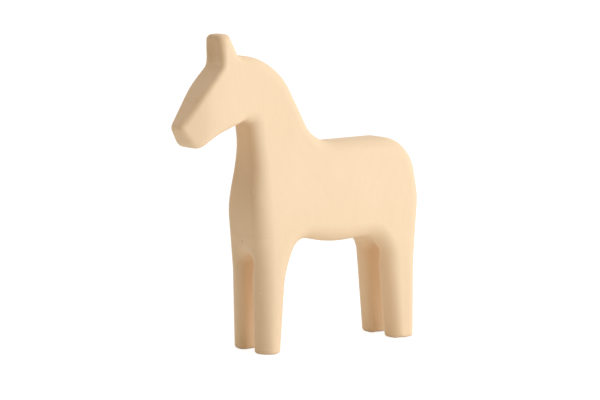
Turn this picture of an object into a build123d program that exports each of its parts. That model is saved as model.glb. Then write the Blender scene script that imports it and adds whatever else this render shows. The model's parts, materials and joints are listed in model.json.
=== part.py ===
from build123d import *
import math
import os

# Carved wooden horse, made of upright staves glued edge to edge.
#
# Frame: the horse looks along -Y, its left side faces +X and +Z is up. The
# origin lies on the floor, under the middle of the horse. Lengths are in mm.
# The left half is shaped first and then mirrored, and the whole form is
# parted into its staves at the end.

# Overall sizes
total_length = 172.0
total_height = 198.0

# Places of the side outline in shares: of the total length, back from the
# nose, and of the total height, up from the floor
nose_place = (-0.0038, 0.7146)
brow_place = (0.0698, 0.8212)
ear_front_foot_place = (0.1535, 0.9091)
ear_front_top_place = (0.1523, 1.0)
ear_rear_top_place = (0.1942, 1.0)
ear_rear_foot_place = (0.2302, 0.9343)
crest_place = (0.3965, 0.9343)
withers_place = (0.5488, 0.6449)
croup_place = (1.0, 0.6535)
rump_place = (1.0, 0.4596)
thigh_place = (0.9791, 0.2424)
hind_foot_rear_place = (0.9814, 0.0)
hind_foot_front_place = (0.8872, 0.0)
hind_arch_place = (0.8494, 0.3404)
belly_place = (0.614, 0.3343)
fore_arch_place = (0.4186, 0.3707)
fore_foot_rear_place = (0.3884, 0.0)
fore_foot_front_place = (0.3047, 0.0)
fore_knee_place = (0.2994, 0.2525)
chest_place = (0.2814, 0.4343)
neck_front_place = (0.2919, 0.5909)
throat_place = (0.2855, 0.7374)
chin_place = (0.0494, 0.651)

# Corner radii of the side outline
brow_radius = 45.0
nose_radius = 3.2
chin_radius = 4.5
throat_radius = 4.0
ear_foot_radius = 5.0
withers_radius = 24.0
croup_radius = 24.0
chest_radius = 150.0
thigh_radius = 60.0

# Radii that follow a length beside them: the ear's by its depth at the top,
# those of the arches and the belly by the gap between the legs
ear_front_round = 0.61
ear_rear_round = 0.444
fore_arch_round = 0.23
hind_arch_round = 0.175
belly_round = 1.08

# Straight stretch between the ear and the curve of the crest
poll_flat = 1.0

# Front outline: widths, heights as shares of the total height, corner radii,
# and how far back the flat cheek reaches as a share of the total length
foot_width = 38.0
flank_width = 40.0
neck_width = 26.4
poll_width = 21.0
nose_width = 14.0
knee_height_share = 0.2121
flank_height_share = 0.4293
neck_height_share = 0.6566
cheek_share = 0.08
leg_radius = 60.0
flank_radius = 60.0
neck_radius = 60.0

# Channel that parts the left legs from the right legs
channel_width = 12.0
channel_height_share = 0.3005

# Rounded edges: the rims as a share of the fore foot's depth, and the head's
# as a share of the ear's rear radius; the cheek's edge is softer than its rims
rim_round = 0.389
head_rim_round = 0.8125
cheek_radius = 12.0
channel_rim_radius = 3.0
sole_radius = 1.6

# Glue joints between the staves
muzzle_stave_width = 24.0
chest_to_joint = 1.4
neck_stave_names = ["muzzle_stave", "head_stave"]
body_stave_names = ["chest_stave", "withers_stave", "loin_stave", "rump_stave"]

# How far cuts run past the wood, and how close two places count as one
overrun = 12.0
touch = 0.01

# A face stands square to the middle plane below the first share of its
# normal along X, and is part of the outer side above the second
square_share = 0.2
side_share = 0.8


def at(place):
    """Place along Y and height above the floor, from a place given in shares."""
    length_share, height_share = place
    return (nose_y + length_share * total_length, height_share * total_height)


def below_floor(foot, knee):
    """Where a leg line, run on straight from knee through foot, leaves the blank."""
    share = overrun / (knee[1] - foot[1])
    return (foot[0] - share * (knee[0] - foot[0]), foot[1] - overrun)


def radius_of_run(before, corner, after, run):
    """Radius of a corner whose arc starts the given run ahead of the corner."""
    turn = (Vector(*corner) - Vector(*before)).get_angle(Vector(*after) - Vector(*corner))
    return run / math.tan(math.radians(turn) / 2)


def neck_half_width(height):
    """Half the width of the neck, which narrows evenly up to the poll."""
    slope = (neck_width - poll_width) / 2 / (poll_height - neck_height)
    return neck_width / 2 - slope * (height - neck_height)


def closed_outline(corners):
    """A closed outline from corners of place, height and radius."""
    places = [(place, height) for place, height, radius in corners]
    FilletPolyline(places, radius=[radius for place, height, radius in corners], close=True)


# Reference places and heights
nose_y = -total_length / 2
throat_y, throat_height = at(throat_place)
ear_rear_y, poll_height = at(ear_rear_foot_place)
nose_height = at(nose_place)[1]
chin_height = at(chin_place)[1]
chest_y = at(chest_place)[0]
cheek_y = nose_y + cheek_share * total_length
rump_y = total_length / 2
top_z = total_height + overrun
knee_height = knee_height_share * total_height
flank_height = flank_height_share * total_height
neck_height = neck_height_share * total_height
channel_height = channel_height_share * total_height

# Radii worked out from the lengths beside them
ear_depth = at(ear_rear_top_place)[0] - at(ear_front_top_place)[0]
fore_foot_depth = at(fore_foot_rear_place)[0] - at(fore_foot_front_place)[0]
leg_gap = at(hind_arch_place)[0] - at(fore_arch_place)[0]
crest_run = at(crest_place)[0] - ear_rear_y - poll_flat
crest_radius = radius_of_run(
    at(ear_rear_foot_place), at(crest_place), at(withers_place), crest_run
)
head_rim_radius = head_rim_round * ear_rear_round * ear_depth
rim_radius = rim_round * fore_foot_depth

# Side outline, from the fore foot up the chest, round the head and down the rump
side_corners = [
    (*below_floor(at(fore_foot_front_place), at(fore_knee_place)), 0),
    (*at(fore_knee_place), thigh_radius),
    (*at(chest_place), chest_radius),
    (*at(neck_front_place), chest_radius),
    (*at(throat_place), throat_radius),
    (*at(chin_place), chin_radius),
    (*at(nose_place), nose_radius),
    (*at(brow_place), brow_radius),
    (*at(ear_front_foot_place), ear_foot_radius),
    (*at(ear_front_top_place), ear_front_round * ear_depth),
    (*at(ear_rear_top_place), ear_rear_round * ear_depth),
    (*at(ear_rear_foot_place), 0),
    (*at(crest_place), crest_radius),
    (*at(withers_place), withers_radius),
    (*at(croup_place), croup_radius),
    (*at(rump_place), thigh_radius),
    (*at(thigh_place), thigh_radius),
    (*below_floor(at(hind_foot_rear_place), at(thigh_place)), 0),
    (*below_floor(at(hind_foot_front_place), at(hind_arch_place)), 0),
    (*at(hind_arch_place), hind_arch_round * leg_gap),
    (*at(belly_place), belly_round * leg_gap),
    (*at(fore_arch_place), fore_arch_round * leg_gap),
    (*below_floor(at(fore_foot_rear_place), at(fore_arch_place)), 0),
]

# Front outline of the left half, from the middle of the floor up the outer side
outer_foot = below_floor((foot_width / 2, 0), (flank_width / 2, knee_height))
front_corners = [
    (0, -overrun, 0),
    (*outer_foot, 0),
    (flank_width / 2, knee_height, leg_radius),
    (flank_width / 2, flank_height, flank_radius),
    (neck_width / 2, neck_height, neck_radius),
    (neck_half_width(top_z), top_z, 0),
    (0, top_z, 0),
]

# Blank: the side outline sawn out, with its outer side planed to the front outline
with BuildPart() as blank:
    with BuildSketch(Plane.YZ):
        with BuildLine():
            closed_outline(side_corners)
        make_face()
    extrude(amount=flank_width)
    with BuildSketch(Plane.XZ):
        with BuildLine():
            closed_outline(front_corners)
        make_face()
    extrude(amount=total_length, both=True, mode=Mode.INTERSECT)

# The head lies ahead of the cheek line, from the throat to the back of the ear
cheek_low = (throat_y - throat_radius / 2, throat_height - throat_radius)
cheek_high = (ear_rear_y, poll_height)
head_area = [
    cheek_low,
    cheek_high,
    (ear_rear_y, top_z),
    (nose_y - overrun, top_z),
    (nose_y - overrun, chin_height - overrun),
]
cheek_line = Plane(
    origin=(0, *cheek_high),
    x_dir=(1, 0, 0),
    z_dir=(0, cheek_high[1] - cheek_low[1], cheek_low[0] - cheek_high[0]),
)

# Flat cheek: a plane that runs from the side of the neck in to the nose
upper_corner = Vector(neck_half_width(poll_height), cheek_y, poll_height)
lower_corner = Vector(neck_half_width(chin_height), cheek_y, chin_height)
nose_corner = Vector(nose_width / 2, nose_y, nose_height)
cheek_side = Plane(
    origin=nose_corner,
    z_dir=(upper_corner - lower_corner).cross(nose_corner - lower_corner),
)


def rims(part):
    """Edges between the sawn outline and the outer side, but for those of the cheek line."""
    sawn = part.faces().filter_by(lambda face: abs(face.normal_at().X) < square_share)
    side = part.faces().filter_by(lambda face: face.normal_at().X > side_share)
    shared = (sawn.edges() & side.edges()).sort_by(Axis.Y)
    above_floor = shared.filter_by(lambda edge: (edge @ 0.5).Z > 0)
    return above_floor.filter_by(
        lambda edge: abs(cheek_line.to_local_coords(edge @ 0.5).Z) > touch
    )


def cheek_edge(part):
    """Edge where the side of the neck turns into the flat cheek."""
    return part.edges().filter_by(lambda edge: abs((edge @ 0.5).Y - cheek_y) < touch)


def channel_rims(new_edges):
    """Edges where the channel opens at the front and back of the legs."""
    across = new_edges.filter_by(Axis.X, reverse=True).filter_by(Axis.Y, reverse=True)
    above_floor = across.filter_by(lambda edge: (edge @ 0.5).Z > 0)
    return above_floor.filter_by(lambda edge: (edge @ 0.5).X > touch)


# Head with its ear block: it narrows to the nose and keeps fairly sharp edges
with BuildPart() as head:
    add(blank.part)
    with BuildSketch(Plane.YZ):
        with BuildLine():
            Polyline(head_area, close=True)
        make_face()
    extrude(amount=flank_width, mode=Mode.INTERSECT)
    split(bisect_by=cheek_side, keep=Keep.BOTTOM)
    fillet(cheek_edge(head.part), cheek_radius)
    fillet(rims(head.part), head_rim_radius)

# Neck, body and legs: softly rounded, with the channel between the legs
with BuildPart() as body:
    add(blank.part)
    with BuildSketch(Plane.YZ):
        with BuildLine():
            Polyline(head_area, close=True)
        make_face()
    extrude(amount=flank_width, mode=Mode.SUBTRACT)
    fillet(rims(body.part), rim_radius)
    with BuildSketch(Plane.XZ):
        SlotOverall(channel_height * 2, channel_width, rotation=90)
    extrude(amount=total_length, both=True, mode=Mode.SUBTRACT)
    fillet(channel_rims(edges(Select.LAST)), channel_rim_radius)
    split(bisect_by=Plane.XY, keep=Keep.TOP)
    fillet(faces().group_by(Axis.Z)[0].edges(), sole_radius)

# Whole carved form, the left half and its mirror image
with BuildPart() as horse:
    add(body.part)
    add(head.part)
    mirror(about=Plane.YZ)

# Glue joints: two staves ahead of the chest, then equal ones to the rump
chest_joint_y = chest_y - chest_to_joint
body_stave_width = (rump_y - chest_joint_y) / len(body_stave_names)
joints = [nose_y - overrun, nose_y + muzzle_stave_width, chest_joint_y]
joints += [chest_joint_y + n * body_stave_width for n in range(1, len(body_stave_names))]
joints += [rump_y + overrun]

# Staves: the form parted at the joints, each with the grain upright
os.makedirs("parts", exist_ok=True)
for name, front_y, rear_y in zip(neck_stave_names + body_stave_names, joints, joints[1:]):
    with BuildPart() as stave:
        add(horse.part)
        with BuildSketch(Plane.XZ.offset(-rear_y)):
            Rectangle(flank_width * 2, top_z * 2)
        extrude(amount=rear_y - front_y, mode=Mode.INTERSECT)
    stave.part.label = name
    export_step(stave.part, f"parts/{name}.step")
    print(f"{name}: {len(stave.part.solids())} solid, {stave.part.volume:.0f} mm3")
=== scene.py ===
# %% [markdown]
# # A carved wooden horse
#
# The real thing is a plain horse, sawn and carved from pale wood and sanded
# smooth. Its blank is six upright staves, glued edge to edge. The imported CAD
# model fixes where each stave is and how large it is. This lesson gives the
# staves their soft sanded skin and the look of bare wood, and then adds a
# white floor, a white room, one soft lamp and a camera.

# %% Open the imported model
import json
import math

import bmesh
import bpy
import numpy as np
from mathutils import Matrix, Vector

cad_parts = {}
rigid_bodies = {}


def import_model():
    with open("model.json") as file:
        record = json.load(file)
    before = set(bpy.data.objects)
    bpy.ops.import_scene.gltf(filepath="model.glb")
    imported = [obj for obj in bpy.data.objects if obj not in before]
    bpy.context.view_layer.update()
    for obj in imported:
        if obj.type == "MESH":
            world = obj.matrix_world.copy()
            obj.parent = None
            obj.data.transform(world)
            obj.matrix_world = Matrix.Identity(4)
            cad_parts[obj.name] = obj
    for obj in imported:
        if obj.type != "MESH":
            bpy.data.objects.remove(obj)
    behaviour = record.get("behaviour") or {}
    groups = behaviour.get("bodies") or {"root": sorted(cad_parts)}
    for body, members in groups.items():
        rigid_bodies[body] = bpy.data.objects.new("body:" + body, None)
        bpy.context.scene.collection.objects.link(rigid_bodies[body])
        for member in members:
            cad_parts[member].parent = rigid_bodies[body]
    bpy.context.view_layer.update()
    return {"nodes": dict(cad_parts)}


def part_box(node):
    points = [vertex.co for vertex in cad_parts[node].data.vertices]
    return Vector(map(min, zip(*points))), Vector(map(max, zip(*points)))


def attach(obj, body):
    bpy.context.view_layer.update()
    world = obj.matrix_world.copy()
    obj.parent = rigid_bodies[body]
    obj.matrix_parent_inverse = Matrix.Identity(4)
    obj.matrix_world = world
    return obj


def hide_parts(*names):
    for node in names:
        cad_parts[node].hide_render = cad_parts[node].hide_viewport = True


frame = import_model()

print("staves in the model:", ", ".join(sorted(frame["nodes"])))

# %% [markdown]
# ## The side outline
#
# A horse like this starts as an outline sawn from the blank. It could be drawn
# with Bezier curves, but a maker draws it with straight lines and rounded
# corners, which is also how it was measured. So each corner is a place along
# the horse, a height above the floor and a radius, all in millimetres. The
# horse looks along -Y and its left side faces +X. The legs run on below the
# floor here, and the soles are cut flat further on.

# %% Corners of the side outline
MM = 0.001
BELOW_FLOOR = -12.0
SIDE_CORNERS = {
    "fore foot, front": (-34.3, BELOW_FLOOR, 0.0),
    "fore knee": (-36.0, 50.0, 60.0),
    "chest": (-39.4, 94.0, 110.0),
    "neck, front": (-35.9, 122.0, 110.0),
    "throat": (-38.4, 146.6, 4.5),
    "jaw": (-63.0, 137.2, 45.0),
    "chin": (-78.6, 126.4, 7.5),
    "nose": (-87.3, 142.7, 4.0),
    "brow": (-71.0, 164.2, 46.0),
    "ear foot, front": (-58.2, 178.6, 4.0),
    "ear top, front": (-60.9, 198.0, 3.6),
    "ear top, rear": (-51.3, 198.0, 3.2),
    "ear foot, rear": (-45.3, 184.6, 1.5),
    "crest": (-20.0, 184.3, 41.0),
    "withers": (10.7, 127.8, 25.0),
    "croup": (84.5, 128.7, 22.4),
    "rump": (86.7, 92.5, 61.0),
    "thigh": (83.8, 50.0, 60.0),
    "hind foot, rear": (82.9, BELOW_FLOOR, 0.0),
    "hind foot, front": (67.6, BELOW_FLOOR, 0.0),
    "hind arch": (59.4, 67.6, 15.0),
    "belly": (20.6, 65.3, 80.0),
    "fore arch": (-6.4, 71.2, 12.0),
    "elbow": (-15.5, 50.9, 60.0),
    "fore foot, rear": (-20.2, BELOW_FLOOR, 0.0),
}
ARC_STEPS = 20
SAME_PLACE = 1e-4


def rounded_outline(corners):
    """Points of a closed outline whose corners are arcs.

    Where the line turns by t at a corner of radius r, the arc starts
    r * tan(t / 2) before the corner, and its centre lies r to the inner side.
    """
    table = np.array(list(corners), float)
    here, radius = table[:, :2], table[:, 2:]
    arriving = here - np.roll(here, 1, 0)
    leaving = np.roll(here, -1, 0) - here
    arriving /= np.linalg.norm(arriving, axis=1, keepdims=True)
    leaving /= np.linalg.norm(leaving, axis=1, keepdims=True)
    sine = arriving[:, :1] * leaving[:, 1:] - arriving[:, 1:] * leaving[:, :1]
    turn = np.arctan2(sine, (arriving * leaving).sum(1, keepdims=True))
    side = np.concatenate([-arriving[:, 1:], arriving[:, :1]], 1) * np.sign(turn)
    start = here - arriving * radius * np.tan(np.abs(turn) / 2)
    centre = start + side * radius
    angle = turn * np.linspace(0, 1, ARC_STEPS + 1)
    spoke = -side * radius
    points = np.stack([
        centre[:, :1] + spoke[:, :1] * np.cos(angle) - spoke[:, 1:] * np.sin(angle),
        centre[:, 1:] + spoke[:, :1] * np.sin(angle) + spoke[:, 1:] * np.cos(angle),
    ], -1).reshape(-1, 2)
    moved = np.linalg.norm(points - np.roll(points, 1, 0), axis=1) > SAME_PLACE
    return points[moved]


side_outline = rounded_outline(SIDE_CORNERS.values())
print("side outline:", len(side_outline), "points")

# %% [markdown]
# ## The front outline
#
# Seen from the front the horse is nearly straight up the legs, 40 mm wide at
# the flanks, and narrows to the neck and the ear. It is drawn the same way, as
# half a width and a height, and closed along the middle of the horse.

# %% Width of the horse by height
ABOVE_EAR = 210.0
FRONT_CORNERS = {
    "middle, below": (0.0, BELOW_FLOOR, 0.0),
    "foot": (20.8, BELOW_FLOOR, 0.0),
    "knee": (20.7, 42.0, 60.0),
    "flank": (20.8, 88.0, 60.0),
    "neck": (13.2, 130.0, 60.0),
    "poll": (12.3, 168.0, 25.0),
    "ear, foot": (10.0, 187.0, 12.0),
    "ear, top": (8.9, ABOVE_EAR, 0.0),
    "middle, above": (0.0, ABOVE_EAR, 0.0),
}
front_outline = rounded_outline(FRONT_CORNERS.values())
width_line = front_outline[front_outline[:, 0] > 0]
width_line = width_line[np.argsort(width_line[:, 1], kind="stable")]


def half_width(z):
    """Half the width of the horse at a height, read off the front outline."""
    return np.interp(z, width_line[:, 1], width_line[:, 0])


belly_neck_ear = np.array([70.0, 130.0, 190.0])
print("half width at belly, neck, ear:", half_width(belly_neck_ear).round(1))

# %% [markdown]
# ## The cheeks
#
# The cheeks are two flat cuts that run in to a narrow muzzle. A flat cut needs
# no curve: it is a plane, so it is written as a distance, which is how far a
# point lies outside the cut, and below zero inside it.

# %% Flat cheeks
MUZZLE = (6.4, -87.0, 141.5)
CHEEK_SPREAD = 0.38
CHEEK_LEAN = 0.04


def outside_cheek(x, y, z):
    """Distance outside the flat cheek.

    The plane goes through MUZZLE. Half the width there grows by CHEEK_SPREAD for
    each millimetre back and shrinks by CHEEK_LEAN for each millimetre up.
    """
    muzzle_x, muzzle_y, muzzle_z = MUZZLE
    beside = np.abs(x) - muzzle_x - CHEEK_SPREAD * (y - muzzle_y) + CHEEK_LEAN * (z - muzzle_z)
    return beside / math.hypot(1, CHEEK_SPREAD, CHEEK_LEAN)


print("slope of a cheek:", f"{math.degrees(math.atan(CHEEK_SPREAD)):.1f} degrees")

# %% [markdown]
# ## Soft edges
#
# The edges are not all alike, because a maker sands the large faces most. The
# head is crisp, with edges of 3 to 6 mm. Legs, neck and back are rounded by 6
# to 11 mm and the belly by up to 14 mm. A bevel modifier has one width and
# breaks where edges meet. So the rounding is worked out from the distances,
# and its radius is a smooth function of the place. It has two values, one in
# from the sawn outline and one in from the outer side, because the edges of
# the real horse are rounder one way than the other.

# %% Smooth steps from place to place
def step_up(value, low, high):
    """0 below low, 1 above high and a smooth step between: t * t * (3 - 2t)."""
    t = np.clip((value - low) / (high - low), 0, 1)
    return t * t * (3 - 2 * t)


THROAT = (-38.9, 142.0)
POLL = (-46.4, 185.0)


def ahead_of_cheek_line(y, z):
    """How far a place lies ahead of the line from the throat up to the poll."""
    back, up = POLL[0] - THROAT[0], POLL[1] - THROAT[1]
    return ((z - THROAT[1]) * back - (y - THROAT[0]) * up) / math.hypot(back, up)


print("nose ahead of the cheek line:", f"{ahead_of_cheek_line(*SIDE_CORNERS['nose'][:2]):.0f} mm")

# %% Radii of the head's edges
BROW_RADIUS = 2.8
JAW_MORE, JAW_BAND = 1.2, (4.0, 16.0)
JAW_PLACE, JAW_SLOPE = (-77.5, 128.9), 0.42
NOSE_MORE, NOSE_BAND = 0.4, (70.0, 82.0)
EAR_FOOT_MORE, EAR_FOOT_BAND = 1.0, (178.0, 184.0)
EAR_TOP_MORE, EAR_TOP_BAND = 1.7, (186.0, 197.0)


def head_radius(y, z):
    """Radius of the head's edges: crisp at the brow, softer at the jaw, the nose and the ear.

    Each addition fades over its band: of heights above the jaw line, of lengths
    ahead of the middle for the nose, and of heights for the ear.
    """
    above_jaw = z - JAW_PLACE[1] - JAW_SLOPE * (y - JAW_PLACE[0])
    jaw = JAW_MORE * (1 - step_up(above_jaw, *JAW_BAND))
    nose = NOSE_MORE * step_up(-y, *NOSE_BAND)
    ear = EAR_FOOT_MORE * step_up(z, *EAR_FOOT_BAND) + EAR_TOP_MORE * step_up(z, *EAR_TOP_BAND)
    return BROW_RADIUS + jaw + nose + ear


# %% Radii of all outer edges
RIM_HEIGHTS = [0, 30, 50, 70, 100, 125, 150, 185]
REAR_RIM_ALONG = [6.4, 7.4, 8.4, 8.8, 7.8, 7.6, 6.4, 6.0]
REAR_RIM_ACROSS = [8.8, 9.0, 8.8, 8.4, 7.8, 7.6, 6.4, 6.0]
FRONT_RIM_ALONG = [9.4, 9.8, 10.2, 11.2, 10.8, 8.8, 8.2, 6.0]
FRONT_RIM_ACROSS = [10.6, 10.6, 10.6, 9.8, 9.0, 8.4, 8.2, 6.0]
BELLY_RIM_ALONG = 14.0
BELLY_RIM_ACROSS = 11.0

FORE_BAND = (8.0, 24.0)
BELLY_HEIGHT, BELLY_SPREAD = 66.0, 13.0
BELLY_FRONT_BAND = (-20.0, 0.0)
BELLY_REAR_BAND = (46.0, 64.0)
THROAT_BAND = (128.0, 146.0)
AHEAD_OF_NECK_BAND = (38.0, 46.0)
CHEEK_LINE_BAND = (-6.0, 9.0)


def rim_radii(y, z):
    """Radii of the outer edges, in from the sawn outline and in from the outer side.

    Both pass from the rear values to the front ones over FORE_BAND, to the
    belly's in a bell curve round its height, and to the head's ahead of the
    cheek line.
    """
    fore = step_up(-y, *FORE_BAND)
    belly = np.exp(-((z - BELLY_HEIGHT) / BELLY_SPREAD) ** 2)
    belly = belly * step_up(y, *BELLY_FRONT_BAND) * (1 - step_up(y, *BELLY_REAR_BAND))
    off_the_neck = np.maximum(step_up(z, *THROAT_BAND), step_up(-y, *AHEAD_OF_NECK_BAND))
    head = step_up(ahead_of_cheek_line(y, z), *CHEEK_LINE_BAND) * off_the_neck
    radii = []
    for rear_line, front_line, belly_rim in (
        (REAR_RIM_ALONG, FRONT_RIM_ALONG, BELLY_RIM_ALONG),
        (REAR_RIM_ACROSS, FRONT_RIM_ACROSS, BELLY_RIM_ACROSS),
    ):
        rear = np.interp(z, RIM_HEIGHTS, rear_line)
        radius = rear + (np.interp(z, RIM_HEIGHTS, front_line) - rear) * fore
        radius = radius + (belly_rim - radius) * belly
        radii.append(radius + (head_radius(y, z) - radius) * head)
    return radii


leg_belly_chest_head = np.array([[-30, 20], [20, 66], [-35, 100], [-70, 155]])
along, across = rim_radii(*leg_belly_chest_head.T)
print("radii at leg, belly, chest, head:", along.round(1), "and", across.round(1))


# %% Rounded and blended distances
def rounded_corner(a, b, along, across):
    """Distance outside both a and b, their corner rounded to a quarter of an ellipse.

    The ellipse reaches `along` in from a and `across` in from b.
    """
    u, v = a / along, b / across
    corner = np.hypot(np.maximum(u + 1, 0), np.maximum(v + 1, 0))
    return (np.minimum(np.maximum(u, v), -1) + corner) * np.minimum(along, across)


def soft_larger(a, b, width):
    """The larger of two distances, with the change from one to the other spread out.

    It is half of a plus b plus the root of the square of a - b and of the width.
    """
    return (a + b + np.sqrt((a - b) ** 2 + width**2)) / 2


print("corner of radius 5, at its tip:", round(float(rounded_corner(0.0, 0.0, 5.0, 5.0)), 2), "mm")

# %% [markdown]
# ## The whole form as one field of distances
#
# A body with four legs, a channel between them and arches under the belly has
# no simple grid of two parameters, and patches of it would show their seams. So
# this piece is made another way: one function gives the distance outside the
# horse for every point of a box, worked out as whole arrays, and the skin is
# laid where that distance is zero.


# %% Distance to the side outline
def outline_distance(y, z, outline, chunk=4096):
    """Distance to a closed outline, below zero inside it.

    The distance is the least one to any side of the outline. A point is inside
    if a level line from it crosses the outline an odd number of times. The
    points are taken in chunks, which keeps the arrays small.
    """
    ends = np.roll(outline, -1, 0)
    side = ends - outline
    length_squared = (side**2).sum(1)
    flat_y, flat_z = np.broadcast_arrays(y, z)
    points = np.stack([flat_y.ravel(), flat_z.ravel()], 1)
    distances = []
    for first in range(0, len(points), chunk):
        offset = points[first:first + chunk, None] - outline
        share = np.clip((offset * side).sum(2) / length_squared, 0, 1)
        nearest = np.sqrt(((offset - share[..., None] * side) ** 2).sum(2).min(1))
        level = points[first:first + chunk, None, 1]
        crosses = (outline[:, 1] > level) != (ends[:, 1] > level)
        rise = np.where(side[:, 1] == 0, 1.0, side[:, 1])
        ahead = offset[..., 0] < offset[..., 1] * side[:, 0] / rise
        inside = (crosses & ahead).sum(1) % 2 == 1
        distances.append(np.where(inside, -nearest, nearest))
    return np.concatenate(distances).reshape(flat_y.shape)


RIDGE_BLUR = 1.7
RIDGE_BAND = (2.5, 5.0)
BLUR_REACH = 3


def softened_ridge(distance, width):
    """The distance with its middle ridge blurred, and unchanged near the outline.

    Midway through a leg the nearest side of the outline changes at once, which
    would leave a crease down the leg. A weighted mean of neighbours, in bell
    curve weights along y and then z, rounds that crease.
    """
    reach = math.ceil(BLUR_REACH * width)
    shifts = np.arange(-reach, reach + 1)
    weights = np.exp(-((shifts / width) ** 2) / 2)
    weights /= weights.sum()
    blurred = distance
    for axis in (0, 1):
        blurred = sum(
            weight * np.roll(blurred, shift, axis) for shift, weight in zip(shifts, weights)
        )
    return distance + (blurred - distance) * step_up(-distance, *RIDGE_BAND)


STEP = 0.75
BOX_X, BOX_Y, BOX_Z = (-23.0, 23.0), (-90.0, 90.0), (-2.4, 201.0)
grid_x, grid_y, grid_z = (np.arange(low, high + STEP, STEP) for low, high in (BOX_X, BOX_Y, BOX_Z))
plane_y, plane_z = np.meshgrid(grid_y, grid_z, indexing="ij")
plane_distance = outline_distance(plane_y, plane_z, side_outline)
plane_distance = softened_ridge(plane_distance, RIDGE_BLUR / STEP)
print("half the depth of the body:", f"{-plane_distance.min():.1f} mm")

# %% [markdown]
# ## Ear, channel and soles
#
# The front of the ear is slightly hollow, a channel with a round top parts the
# left legs from the right, and the soles are flat. Each is one more distance.
# The hollow is added to the sawn outline, and the channel and the floor cut
# into the form with rounded edges of their own.

# %% The horse's distance function
CHEEK_BLEND = 2.0
EAR_HOLLOW, EAR_HOLLOW_SPREAD = 1.4, 7.0
EAR_HOLLOW_FOOT_BAND = (177.0, 185.0)
EAR_HOLLOW_TOP_BAND = (192.0, 200.0)
EAR_HOLLOW_FRONT_BAND = (53.0, 57.0)
CHANNEL_HALF_WIDTH = 5.6
CHANNEL_TOP = 59.9
CHANNEL_RIM = 4.2
ARCH_RIM, ARCH_BAND = 8.2, (46.0, 60.0)
SOLE_RADIUS = 1.7


def ear_hollow(x, y, z):
    """Depth of the hollow in the ear's front: a bell curve across, faded at foot and top."""
    depth = EAR_HOLLOW * np.exp(-(x / EAR_HOLLOW_SPREAD) ** 2)
    up = step_up(z, *EAR_HOLLOW_FOOT_BAND) * (1 - step_up(z, *EAR_HOLLOW_TOP_BAND))
    return depth * up * step_up(-y, *EAR_HOLLOW_FRONT_BAND)


def outside_horse(x, y, z, side_distance):
    """Distance outside the horse, from the one to its side outline.

    It is outside the sawn outline, or outside the width or a cheek, or inside
    the channel, or below the floor, whichever is the most, with rounded corners.
    The channel is a slot of CHANNEL_HALF_WIDTH that ends in half a circle.
    """
    sawn = side_distance + ear_hollow(x, y, z)
    side = soft_larger(np.abs(x) - half_width(z), outside_cheek(x, y, z), CHEEK_BLEND)
    form = rounded_corner(sawn, side, *rim_radii(y, z))
    above_slot = np.maximum(z - (CHANNEL_TOP - CHANNEL_HALF_WIDTH), 0)
    in_channel = CHANNEL_HALF_WIDTH - np.hypot(x, above_slot)
    rim = CHANNEL_RIM + (ARCH_RIM - CHANNEL_RIM) * step_up(z, *ARCH_BAND)
    form = rounded_corner(form, in_channel, rim, rim)
    return rounded_corner(form, -z + 0 * form, SOLE_RADIUS, SOLE_RADIUS)


field = outside_horse(grid_x[:, None, None], plane_y[None], plane_z[None], plane_distance[None])
field_size = " x ".join(str(count) for count in field.shape)
print("field:", field_size, "points,", f"{(field < 0).sum() * STEP**3:.0f} mm3 inside")

# %% [markdown]
# ## A skin on the field
#
# The skin is laid in two steps. First every grid cell that the surface passes
# through gets one point, at the middle of the places where its edges change
# sign, and points of neighbouring cells are joined to quads. Then each point
# slides along the slope of the field until its distance is zero, so the flat
# faces come out flat.


# %% Points and quads
def cell_edges():
    """The twelve edges of a cell, as an axis and the corner where the edge starts."""
    return [
        (axis, tuple(np.insert([u, v], axis, 0)))
        for axis in range(3) for u in (0, 1) for v in (0, 1)
    ]


def cell_points(field):
    """One point in each cell that the surface crosses, in grid units, and the cells' numbers.

    The point is the mean of the places where the field is zero on the cell's
    edges. On an edge from value a to value b that is a / (a - b) of the way.
    """
    cells = tuple(n - 1 for n in field.shape)

    def at_corner(shift):
        return field[tuple(slice(s, s + n) for s, n in zip(shift, cells))]

    total, count = np.zeros(cells + (3,)), np.zeros(cells)
    for axis, start in cell_edges():
        end = tuple(s + (n == axis) for n, s in enumerate(start))
        here, there = at_corner(start), at_corner(end)
        changes = (here < 0) != (there < 0)
        share = np.where(changes, here / np.where(changes, here - there, 1), 0)
        for n in range(3):
            total[..., n] += changes * (start[n] + (share if n == axis else 0))
        count += changes
    active = count > 0
    number = np.full(cells, -1)
    number[active] = np.arange(active.sum())
    return np.argwhere(active) + total[active] / count[active][:, None], number


def cell_quads(field, number):
    """A quad round each grid edge that crosses the surface, from the four cells at that edge.

    The order of its corners is turned round where the edge enters the form, so
    that every quad faces outward.
    """
    inside = field < 0
    quads = []
    for axis in range(3):
        others = [n for n in range(3) if n != axis]
        low = tuple(slice(0, -1) if n == axis else slice(1, -1) for n in range(3))
        high = tuple(slice(1, None) if n == axis else slice(1, -1) for n in range(3))
        for leaving in (True, False):
            change = (inside[low] & ~inside[high]) if leaving else (~inside[low] & inside[high])
            edge = np.argwhere(change)
            corners = []
            for u, v in ((0, 0), (1, 0), (1, 1), (0, 1)):
                cell = edge.copy()
                cell[:, others[0]] += u
                cell[:, others[1]] += v
                corners.append(number[tuple(cell.T)])
            quad = np.stack(corners, 1)
            quads.append(quad if leaving == (axis != 1) else quad[:, ::-1])
    return np.concatenate(quads)


skin, cell_numbers = cell_points(field)
quads = cell_quads(field, cell_numbers)
print("skin:", len(skin), "points,", len(quads), "quads")


# %% Points pulled onto the surface
def read_off(array, points):
    """Values of a grid at places between its points, blended from the eight round them."""
    cell = np.clip(points.astype(int), 0, np.array(array.shape[:3]) - 2)
    share = points - cell
    value = 0
    for corner in np.ndindex(2, 2, 2):
        weight = np.prod(np.where(np.array(corner) == 1, share, 1 - share), axis=1)
        index = tuple((cell + corner).T)
        value = value + (array[index].T * weight).T
    return value


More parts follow.
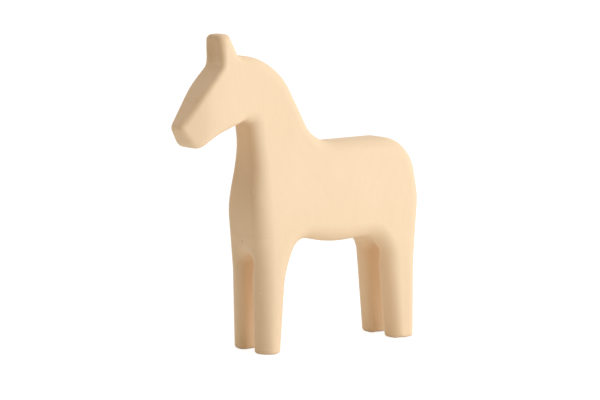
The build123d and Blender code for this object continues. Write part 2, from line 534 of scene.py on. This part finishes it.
PULLS = 3
slope = np.stack(np.gradient(field), -1)
for pull in range(PULLS):
    away = read_off(field, skin)
    lean = read_off(slope, skin)
    skin = skin - lean * (away / (lean**2).sum(1))[:, None]
print("left after the pulls:", f"{np.abs(read_off(field, skin)).max():.3f} mm")

normals = read_off(slope, skin)
normals /= np.linalg.norm(normals, axis=1, keepdims=True)
skin = skin * STEP + np.array([grid_x[0], grid_y[0], grid_z[0]])
print("box of the skin:", skin.min(0).round(2), skin.max(0).round(2))

# %% [markdown]
# ## Parting the skin into staves
#
# The glue joints are flat and upright. Where they are is read from the boxes
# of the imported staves. The skin is cut at each joint and every stave gets a
# flat end face there. The staves meet face to face and share the normals of
# the whole form, so no joint shows, as on the sanded horse.

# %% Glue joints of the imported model
PAST_THE_ENDS = 98.0
stave_names = sorted(frame["nodes"], key=lambda name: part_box(name)[0].y)
joints = [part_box(name)[1].y / MM for name in stave_names[:-1]]
stave_fronts, stave_rears = [-PAST_THE_ENDS, *joints], [*joints, PAST_THE_ENDS]
print("glue joints at y =", [round(joint, 2) for joint in joints])

# %% One closed stave between two joints
END_FACE_COSINE = 0.9999


def numbers_of(collection, name, kind=np.int32, each=1):
    """A property of a mesh's vertices, corners or faces, as one numpy array."""
    values = np.zeros(len(collection) * each, kind)
    collection.foreach_get(name, values)
    return values.reshape(-1, each) if each > 1 else values


def close_ends(form, front, rear):
    """Flat faces over the open edges, in triangles that face away from the stave."""
    open_edges = [edge for edge in form.edges if edge.is_boundary]
    caps = bmesh.ops.edgeloop_fill(form, edges=open_edges)["faces"]
    for cap in caps:
        outward = -1 if cap.calc_center_median().y / MM < (front + rear) / 2 else 1
        cap.normal_update()
        if cap.normal.y * outward < 0:
            cap.normal_flip()
    bmesh.ops.triangulate(form, faces=caps)


def shade_as_one(mesh):
    """Skin corners take the whole form's normal, and the flat ends their own."""
    corner_vertices = numbers_of(mesh.loops, "vertex_index")
    carried = mesh.attributes["skin_normal"]
    shade = numbers_of(carried.data, "vector", np.float32, 3)[corner_vertices]
    face_normals = numbers_of(mesh.polygons, "normal", np.float32, 3)
    sizes = numbers_of(mesh.polygons, "loop_total")
    end_faces = (np.abs(face_normals[:, 1]) > END_FACE_COSINE) & (sizes == 3)
    on_end = np.repeat(end_faces, sizes)
    shade[on_end] = np.repeat(face_normals, sizes, axis=0)[on_end]
    shade /= np.linalg.norm(shade, axis=1, keepdims=True)
    mesh.polygons.foreach_set("use_smooth", np.ones(len(mesh.polygons), bool))
    mesh.normals_split_custom_set(shade.tolist())
    mesh.attributes.remove(mesh.attributes["skin_normal"])


def part_stave(name, front, rear):
    """A closed stave: the skin between two joints, cut by both planes and capped flat."""
    reach = skin[quads][:, :, 1]
    near = (reach.max(1) > front - STEP) & (reach.min(1) < rear + STEP)
    used, faces = np.unique(quads[near], return_inverse=True)
    mesh = bpy.data.meshes.new(name)
    mesh.from_pydata((skin[used] * MM).tolist(), [], faces.reshape(-1, 4).tolist())
    carried = mesh.attributes.new("skin_normal", "FLOAT_VECTOR", "POINT")
    carried.data.foreach_set("vector", normals[used].astype(np.float32).ravel())
    form = bmesh.new()
    form.from_mesh(mesh)
    for place, outward in ((front, -1), (rear, 1)):
        bmesh.ops.bisect_plane(
            form, geom=form.verts[:] + form.edges[:] + form.faces[:],
            plane_co=(0, place * MM, 0), plane_no=(0, outward, 0), clear_outer=True,
        )
    close_ends(form, front, rear)
    form.to_mesh(mesh)
    form.free()
    shade_as_one(mesh)
    stave = bpy.data.objects.new(name + "_sanded", mesh)
    bpy.context.scene.collection.objects.link(stave)
    return stave


staves = {
    name: part_stave(name, front, rear)
    for name, front, rear in zip(stave_names, stave_fronts, stave_rears)
}
for name, stave in staves.items():
    faces_at_edge = np.bincount(numbers_of(stave.data.loops, "edge_index"))
    closed = "closed" if (faces_at_edge == 2).all() else "open"
    print(name, len(stave.data.polygons), "faces,", closed)

# %% [markdown]
# ## Sums on sockets
#
# A shader is a sum of patterns. Wiring each Math node by hand hides that sum,
# so a small class lets Python's own signs make the nodes.


# %% A socket that can be reckoned with
class Pattern:
    """A node's output, on which + - * / ** and abs build Math nodes."""

    def __init__(self, tree, socket=None):
        self.tree = tree
        self.socket = socket

    def node(self, kind, settings=None, inputs=None, output=0):
        """Any node: its type, its settings, and values or links for its sockets."""
        made = self.tree.nodes.new(kind)
        for name, value in (settings or {}).items():
            setattr(made, name, value)
        for key, value in (inputs or {}).items():
            if isinstance(value, Pattern):
                self.tree.links.new(value.socket, made.inputs[key])
            else:
                made.inputs[key].default_value = value
        return Pattern(self.tree, made.outputs[output] if made.outputs else None)

    def maths(self, operation, *values, clamp=False):
        """A Math node on numbers and patterns."""
        settings = {"operation": operation, "use_clamp": clamp}
        return self.node("ShaderNodeMath", settings, dict(enumerate(values)))

    def vector(self, operation, *values, output=0):
        """A Vector Math node. Its output 1 is the number that a length or a distance gives."""
        return self.node("ShaderNodeVectorMath", {"operation": operation}, dict(enumerate(values)), output)

    def scaled(self, factor):
        """A vector made longer by a factor."""
        return self.node("ShaderNodeVectorMath", {"operation": "SCALE"}, {0: self, "Scale": factor})

    def part(self, axis):
        """One part of a vector: 0 for x, 1 for y and 2 for z."""
        return self.node("ShaderNodeSeparateXYZ", {}, {0: self}, axis)

    def __add__(self, other):
        return self.maths("ADD", self, other)

    def __radd__(self, other):
        return self.maths("ADD", other, self)

    def __sub__(self, other):
        return self.maths("SUBTRACT", self, other)

    def __rsub__(self, other):
        return self.maths("SUBTRACT", other, self)

    def __mul__(self, other):
        return self.maths("MULTIPLY", self, other)

    def __rmul__(self, other):
        return self.maths("MULTIPLY", other, self)

    def __truediv__(self, other):
        return self.maths("DIVIDE", self, other)

    def __pow__(self, other):
        return self.maths("POWER", self, other)

    def __abs__(self):
        return self.maths("ABSOLUTE", self)

    def clamped(self):
        """The pattern held between 0 and 1."""
        return self.maths("ADD", self, 0.0, clamp=True)

    def between(self, low, high):
        """0 below low, 1 above high and a smooth step between."""
        return self.node(
            "ShaderNodeMapRange", {"interpolation_type": "SMOOTHSTEP"},
            {"Value": self, "From Min": low, "From Max": high},
        )

    def blend(self, first, second):
        """A colour between two, by this pattern as the share of the second."""
        return self.node(
            "ShaderNodeMix", {"data_type": "RGBA"}, {0: self, 6: first, 7: second}, output=2
        )


def new_graph(owner):
    """The emptied node tree of a material or a world, ready for patterns."""
    owner.use_nodes = True
    owner.node_tree.nodes.clear()
    return Pattern(owner.node_tree)


# %% [markdown]
# ## Bare pale wood
#
# The horse is close-grained pale wood with the grain upright. From a step away
# it is nearly one colour. Closer, it has faint year lines, fine fibres, short
# dark pores and soft clouds of warmer tone, and the end grain on the back and
# the soles is a little darker. An image would do, but patterns in the object's
# own space run through the wood, so lines on the flank meet those on the back.

# %% Coordinates in millimetres, bent a little like real grain
BEND_GRAINS, BEND_DETAIL = (0.03, 0.03, 0.008), 2.0
BEND_REACH = 16.0
NOISE_MIDDLE = 0.5


def wood_place(graph):
    """Object coordinates in millimetres, and the same bent by a slow noise."""
    place = graph.node("ShaderNodeTexCoord", output=3).scaled(1 / MM)
    slow = graph.vector("MULTIPLY", place, BEND_GRAINS)
    drift = graph.node(
        "ShaderNodeTexNoise", {}, {"Vector": slow, "Scale": 1.0, "Detail": BEND_DETAIL}, output=1
    )
    shift = graph.vector("SUBTRACT", drift, (NOISE_MIDDLE,) * 3).scaled(BEND_REACH)
    return place, graph.vector("ADD", place, shift)


def noise(graph, place, grains, detail, roughness, offset):
    """A noise round 0 with so many grains per millimetre along x, y and z."""
    vector = graph.node(
        "ShaderNodeMapping", {"vector_type": "POINT"},
        {"Vector": place, "Scale": grains, "Location": offset},
    )
    return graph.node(
        "ShaderNodeTexNoise", {},
        {"Vector": vector, "Scale": 1.0, "Detail": detail, "Roughness": roughness},
    ) - NOISE_MIDDLE


print("the grain wanders by up to", BEND_REACH / 2, "mm")

# %% Year lines, fibres, pores and clouds
# Each noise: grains per millimetre along x, y and z, detail, roughness and offset
NOISES = {
    "fibres": ((1.5, 1.5, 0.035), 3.0, 0.6, (0.0, 0.0, 0.0)),
    "fine fibres": ((5.0, 5.0, 0.16), 2.0, 0.6, (7.0, 3.0, 1.0)),
    "pores": ((4.2, 4.2, 0.35), 1.0, 0.5, (2.0, 9.0, 4.0)),
    "clouds": ((0.035, 0.035, 0.018), 2.0, 0.5, (5.0, 1.0, 8.0)),
}
PITH = (-64.0, 22.0, 0.0)
YEAR = 3.1
YEAR_STRETCH = (1.0, 1.0, 0.02)
LATE_WOOD_POWER = 5.0
YEAR_END_BAND = (0.95, 1.0)
PORE_BAND = (0.16, 0.26)
END_GRAIN_BAND = (0.55, 1.0)


def year_lines(graph, bent):
    """1 at the dark late wood of each year and 0 between.

    The distance to the pith is counted in years. Its fraction, to a high power,
    rises slowly through the year and drops at once at its end.
    """
    spokes = graph.vector("MULTIPLY", graph.vector("SUBTRACT", bent, PITH), YEAR_STRETCH)
    years = graph.vector("LENGTH", spokes, output=1) / YEAR
    fraction = graph.maths("FRACT", years)
    return (fraction ** LATE_WOOD_POWER) * (1 - fraction.between(*YEAR_END_BAND))


def grain_patterns(graph, place, bent, normal):
    """What runs all through the wood: each pattern by its name."""
    return {
        "year lines": year_lines(graph, bent),
        "fibres": noise(graph, bent, *NOISES["fibres"]),
        "fine fibres": noise(graph, place, *NOISES["fine fibres"]),
        "pores": noise(graph, place, *NOISES["pores"]).between(*PORE_BAND),
        "clouds": noise(graph, place, *NOISES["clouds"]),
        "end grain": abs(normal.part(2)).between(*END_GRAIN_BAND),
    }


print("pith:", f"{math.hypot(*PITH):.0f} mm from the middle of the horse")

# %% [markdown]
# ## Marks of this horse
#
# A made thing has marks that no noise gives: a dark nick over the channel,
# three pale chips and a faint knot on the forehead. Painted shade and light are
# added here too: a faint painted shade line across the chest where its slope
# turns, painted light just below it, and painted shade on the fronts of the ear
# and of the neck. Each is a small function of the place, so it can be moved by
# changing its numbers.

# %% Nicks, knot, and painted shade and light
DARK_NICK = ((-0.7, -37.3, 69.6), 1.5)
PALE_NICKS = [
    ((-0.4, -37.4, 70.4), 0.9),
    ((15.0, -34.5, 38.8), 0.9),
    ((12.2, -37.4, 101.2), 0.8),
]
NICK_CORE_SHARE = 0.45
KNOT_PLACE, KNOT_RADII = (1.0, -76.6, 158.6), (6.0, 9.0, 1.3)
KNOT_WIDTH, KNOT_CORE_SHARE = 0.35, 0.3
CHEST_BAND = (-33.0, -28.0)
# Painted shade in a faint line across the chest, where its slope turns
PAINTED_SHADE_LINE_HEIGHT, PAINTED_SHADE_LINE_BAND = 73.0, (0.2, 1.1)
# Painted light in a paler band just below that line
PAINTED_LIGHT_BANDS = (62.0, 70.0), (72.0, 74.0)
# Painted shade on the hollow front of the ear
PAINTED_EAR_SHADE_REACH, PAINTED_EAR_SHADE_HEIGHTS = (-57.0, -54.0), (179.0, 186.0)
# Painted shade on the front of the neck under the head, where it faces forward
PAINTED_NECK_SHADE_FACING = (0.3, 1.0)
PAINTED_NECK_SHADE_REACH, PAINTED_NECK_SHADE_HEIGHTS = (-44.0, -39.5), (70.0, 118.0)


def spot(graph, place, centre, radius):
    """1 at a small round mark and 0 outside its radius."""
    away = graph.vector("DISTANCE", place, centre, output=1)
    return 1 - away.between(radius * NICK_CORE_SHARE, radius)


def ring(graph, place, centre, radii, width):
    """1 on a thin ellipsoid shell round a place, which shows as a ring on the skin."""
    away = graph.vector("DIVIDE", graph.vector("SUBTRACT", place, centre), radii)
    off_shell = abs(graph.vector("LENGTH", away, output=1) - 1)
    return 1 - off_shell.between(width * KNOT_CORE_SHARE, width)


def mark_patterns(graph, place, normal):
    """Marks of this one horse at single places, and its painted shade and light, each by its name."""
    along, height = place.part(1), place.part(2)
    chest = 1 - along.between(*CHEST_BAND)
    painted_light_rise, painted_light_fall = PAINTED_LIGHT_BANDS
    painted_light_below = height.between(*painted_light_rise) * (1 - height.between(*painted_light_fall))
    facing_for_neck_shade = (0 - normal.part(1)).between(*PAINTED_NECK_SHADE_FACING)
    return {
        "dark nick": spot(graph, place, *DARK_NICK),
        "pale nicks": sum(spot(graph, place, *nick) for nick in PALE_NICKS),
        "knot": ring(graph, place, KNOT_PLACE, KNOT_RADII, KNOT_WIDTH),
        # Painted shade: a faint dark line across the chest where its slope turns
        "painted shade line on chest": (1 - abs(height - PAINTED_SHADE_LINE_HEIGHT).between(*PAINTED_SHADE_LINE_BAND)) * chest,
        # Painted light: a paler band just below the chest line
        "painted light low on chest": painted_light_below * chest,
        # Painted shade on the hollow front of the ear
        "painted ear front shade": (1 - along.between(*PAINTED_EAR_SHADE_REACH)) * height.between(*PAINTED_EAR_SHADE_HEIGHTS),
        # Painted shade on the front of the neck, under the head
        "painted neck front shade": facing_for_neck_shade * along.between(*PAINTED_NECK_SHADE_REACH) * height.between(*PAINTED_NECK_SHADE_HEIGHTS),
    }


print("nicks:", 1 + len(PALE_NICKS))

# %% [markdown]
# ## One material from all patterns
#
# Every pattern has a weight. One sum of them is the tone, which blends pale
# wood into dark wood, and which also holds the painted shade and painted light
# of the marks. A second sum is the relief, which a Bump node turns into
# fine ridges, because fibres this thin would need millions of faces. Sanded
# wood without varnish shines little, so its roughness is high and its specular
# level low.

# %% The bare wood
PALE_WOOD = (0.93, 0.712, 0.486, 1.0)
# The dark end of the tone: darker grain, and the painted shade of the marks
DARK_WOOD_AND_SHADE = (0.70, 0.47, 0.28, 1.0)
CHIP_WOOD = (0.99, 0.86, 0.68, 1.0)
CHIP_SHARE = 0.7
PLAIN_TONE = 0.12
# Four weights paint light and shade, not wood: painted shade in a line across the chest, painted light
# just below it, and painted shade on the fronts of the ear and the neck
TONE_WEIGHTS = {
    "fibres": 0.16, "fine fibres": 0.12, "year lines": 0.05, "pores": 0.12,
    "clouds": 0.22, "end grain": 0.03, "dark nick": 0.5, "knot": 0.16,
    "painted shade line on chest": 0.09, "painted light low on chest": -0.06, "painted ear front shade": 0.44, "painted neck front shade": 0.4,
}
RELIEF_WEIGHTS = {
    "fibres": 0.6, "fine fibres": 0.5, "year lines": -0.5, "pores": -0.8,
    "dark nick": -3.0, "pale nicks": -2.0,
}
RELIEF_STRENGTH, RELIEF_HEIGHT = 0.22, 0.12 * MM
ROUGHNESS, ROUGHNESS_CHANGE = 0.58, 0.16
SPECULAR_LEVEL = 0.28


def weighted(patterns, weights):
    """The sum of the patterns that have a weight, each times its weight."""
    return sum(weight * patterns[name] for name, weight in weights.items())


def bare_wood(name):
    """The material of the whole horse."""
    material = bpy.data.materials.new(name)
    graph = new_graph(material)
    place, bent = wood_place(graph)
    normal = graph.node("ShaderNodeNewGeometry", output=1)
    patterns = grain_patterns(graph, place, bent, normal) | mark_patterns(graph, place, normal)
    tone = (weighted(patterns, TONE_WEIGHTS) + PLAIN_TONE).clamped()
    chips = (CHIP_SHARE * patterns["pale nicks"]).clamped()
    bump = graph.node("ShaderNodeBump", {}, {
        "Height": weighted(patterns, RELIEF_WEIGHTS),
        "Strength": RELIEF_STRENGTH,
        "Distance": RELIEF_HEIGHT,
    })
    shader = graph.node("ShaderNodeBsdfPrincipled", {}, {
        "Base Color": chips.blend(tone.blend(PALE_WOOD, DARK_WOOD_AND_SHADE), CHIP_WOOD),
        "Roughness": ROUGHNESS + ROUGHNESS_CHANGE * patterns["fibres"],
        "Specular IOR Level": SPECULAR_LEVEL,
        "Normal": bump,
    })
    graph.node("ShaderNodeOutputMaterial", {}, {"Surface": shader})
    return material


wood = bare_wood("bare_pale_wood")
for name, stave in staves.items():
    stave.data.materials.append(wood)
    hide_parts(name)
    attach(stave, "root")
print("wood:", len(wood.node_tree.nodes), "nodes on", len(staves), "staves")

# %% [markdown]
# ## White floor
#
# The horse stands on a plain white floor in front of white. A lit floor would
# come out grey at its far end, so to the camera this one glows white and only
# keeps the shadow under the feet. To all other light it is plain matt white,
# which throws light up at the legs and the belly.

# %% White floor
FLOOR_REACH = 6.0
FLOOR_WHITE = (0.94, 0.94, 0.92, 1.0)
FLOOR_GLOW = 0.86
FLOOR_SHADE = (0.3, 0.3, 0.3, 1.0)
WHITE = (1.0, 1.0, 1.0, 1.0)


def white_floor():
    """A wide plane whose colour is white to the camera, less the horse's shadow."""
    mesh = bpy.data.meshes.new("floor")
    corners = [(x * FLOOR_REACH, y * FLOOR_REACH, 0) for x, y in ((-1, -1), (1, -1), (1, 1), (-1, 1))]
    mesh.from_pydata(corners, [], [(0, 1, 2, 3)])
    floor = bpy.data.objects.new("floor", mesh)
    bpy.context.scene.collection.objects.link(floor)
    material = bpy.data.materials.new("white_floor")
    graph = new_graph(material)
    plain = graph.node("ShaderNodeBsdfDiffuse", {}, {"Color": FLOOR_WHITE})
    glow = graph.node("ShaderNodeEmission", {}, {"Color": WHITE, "Strength": FLOOR_GLOW})
    shade = graph.node("ShaderNodeBsdfDiffuse", {}, {"Color": FLOOR_SHADE})
    seen = graph.node("ShaderNodeAddShader", {}, {0: glow, 1: shade})
    camera_ray = graph.node("ShaderNodeLightPath", output="Is Camera Ray")
    surface = graph.node("ShaderNodeMixShader", {}, {0: camera_ray, 1: plain, 2: seen})
    graph.node("ShaderNodeOutputMaterial", {}, {"Surface": surface})
    mesh.materials.append(material)
    return floor


floor = white_floor()
print("floor:", 2 * FLOOR_REACH, "m wide")

# %% [markdown]
# ## White room
#
# A light tent gives light from all round. Here the far wall is bright and the
# near side, behind the camera, is dim and warm, which leaves the fronts of
# head, chest and legs in soft shade. To the camera the room is white.

# %% White room
NEAR_SIDE = (0.27, 0.196, 0.104, 1.0)
FAR_SIDE = (0.96, 0.95, 0.93, 1.0)
FAR_WALL = (-0.55, 0.80, 0.24)
ROOM_BAND = (-0.35, 0.35)
SEEN_AS_WHITE = ("Is Camera Ray", "Is Glossy Ray", "Is Transmission Ray")


def white_room():
    """Light from all round, brighter from the far wall, and white to the camera.

    The share of the far side's colour rises with how far a direction points
    towards FAR_WALL.
    """
    world = bpy.data.worlds.new("white_room")
    bpy.context.scene.world = world
    graph = new_graph(world)
    direction = graph.node("ShaderNodeTexCoord")
    toward = graph.vector("DOT_PRODUCT", direction, FAR_WALL, output=1)
    light = toward.between(*ROOM_BAND).blend(NEAR_SIDE, FAR_SIDE)
    seen = sum(graph.node("ShaderNodeLightPath", output=ray) for ray in SEEN_AS_WHITE)
    colour = seen.clamped().blend(light, WHITE)
    background = graph.node("ShaderNodeBackground", {}, {"Color": colour, "Strength": 1.0})
    graph.node("ShaderNodeOutputWorld", {}, {"Surface": background})


white_room()
print("room: near side", NEAR_SIDE[:3], "far side", FAR_SIDE[:3])

# %% [markdown]
# ## Soft lamp
#
# One wide square lamp, a little above the horse and slightly behind its left
# side, lights the flank and leaves a slow turn of shade round each edge. A sun
# or a small lamp would draw hard shadows. Its bluish white balances the warm
# near side of the room.


# %% Soft lamp
def away_to(azimuth, elevation):
    """The direction of a bearing from straight ahead to the horse's left, and a height."""
    turn, rise = math.radians(azimuth), math.radians(elevation)
    level = math.cos(rise)
    return Vector((math.sin(turn) * level, -math.cos(turn) * level, math.sin(rise)))


LAMP_AIM = Vector((0.0, 0.0, 0.09))
LAMP_AZIMUTH, LAMP_ELEVATION = 111.0, 20.0
LAMP_DISTANCE, LAMP_SIZE, LAMP_POWER = 1.5, 1.2, 13.6
LAMP_COLOUR = (0.848, 0.925, 1.0)


def soft_lamp(name):
    """A square lamp that looks at the middle of the horse."""
    data = bpy.data.lights.new(name, "AREA")
    data.shape, data.size = "SQUARE", LAMP_SIZE
    data.energy, data.color = LAMP_POWER, LAMP_COLOUR
    lamp = bpy.data.objects.new(name, data)
    away = away_to(LAMP_AZIMUTH, LAMP_ELEVATION)
    lamp.location = LAMP_AIM + away * LAMP_DISTANCE
    lamp.rotation_euler = away.to_track_quat("Z", "Y").to_euler()
    bpy.context.scene.collection.objects.link(lamp)
    return lamp


key_lamp = soft_lamp("key_lamp")
print("lamp at", [round(c, 3) for c in key_lamp.location])

# %% [markdown]
# ## Camera
#
# The photograph looks at the horse's left side from the front, a little from
# above and from afar, so the upright lines hardly lean. The bearing and the
# lens were found from the places of the four feet.

# %% Camera
CAMERA_AZIMUTH, CAMERA_ELEVATION = 54.6, 7.4
CAMERA_AIM = Vector((0.0, 0.00575, 0.0918))
CAMERA_DISTANCE = 1.61875
LENS, SENSOR_WIDTH = 155.4, 36.0

camera_data = bpy.data.cameras.new("camera")
camera_data.lens, camera_data.sensor_width = LENS, SENSOR_WIDTH
camera = bpy.data.objects.new("camera", camera_data)
back = away_to(CAMERA_AZIMUTH, CAMERA_ELEVATION)
camera.location = CAMERA_AIM + back * CAMERA_DISTANCE
camera.rotation_euler = back.to_track_quat("Z", "Y").to_euler()
bpy.context.scene.collection.objects.link(camera)
bpy.context.scene.camera = camera
bpy.context.scene.view_settings.view_transform = "Standard"
print("camera at", [round(c, 3) for c in camera.location])
